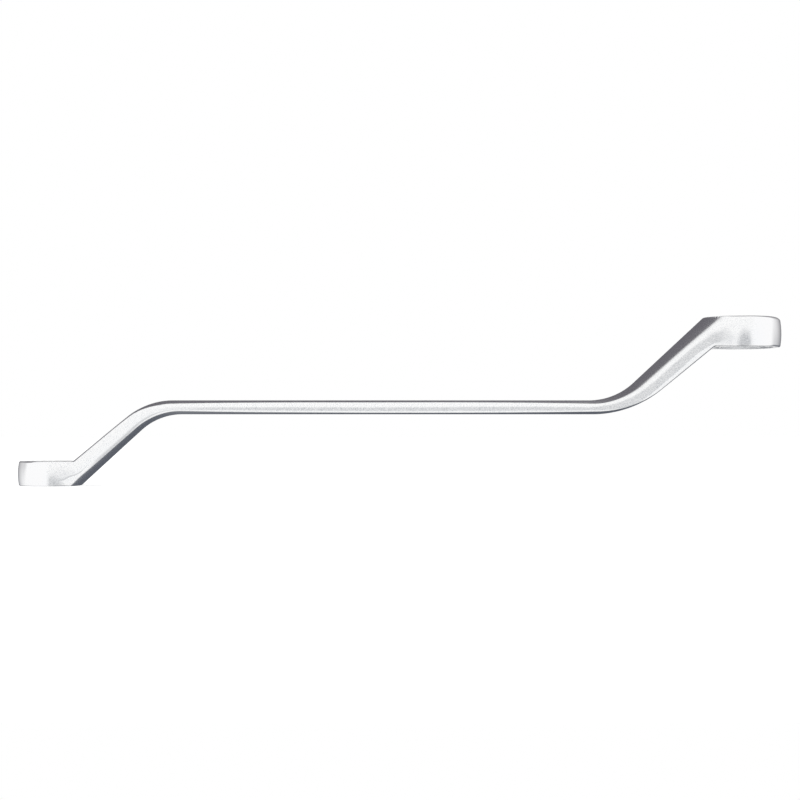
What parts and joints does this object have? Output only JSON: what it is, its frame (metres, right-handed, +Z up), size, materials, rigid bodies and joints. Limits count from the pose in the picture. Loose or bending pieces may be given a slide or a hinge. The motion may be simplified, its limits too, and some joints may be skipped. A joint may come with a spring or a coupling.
{
  "type": "ring spanner",
  "caption": "Double-ended ring spanner forged in one piece, cranked down to a small ring and up to a larger one, with a bihexagonal socket through each ring.",
  "frame": {"origin": "centre of the small ring's lower face, on the axis of the small socket", "axes": "+X along the tool towards the large ring, +Z up along the axis of both sockets, from the small ring's lower face towards its crank"},
  "size_m": [0.265, 0.0256, 0.0584],
  "materials": {
    "chromed_steel": "satin chrome plate, brighter on the ground ring walls"
  },
  "bodies": {
    "root": {"spanner_forging": "chromed_steel"}
  },
  "joints": []
}
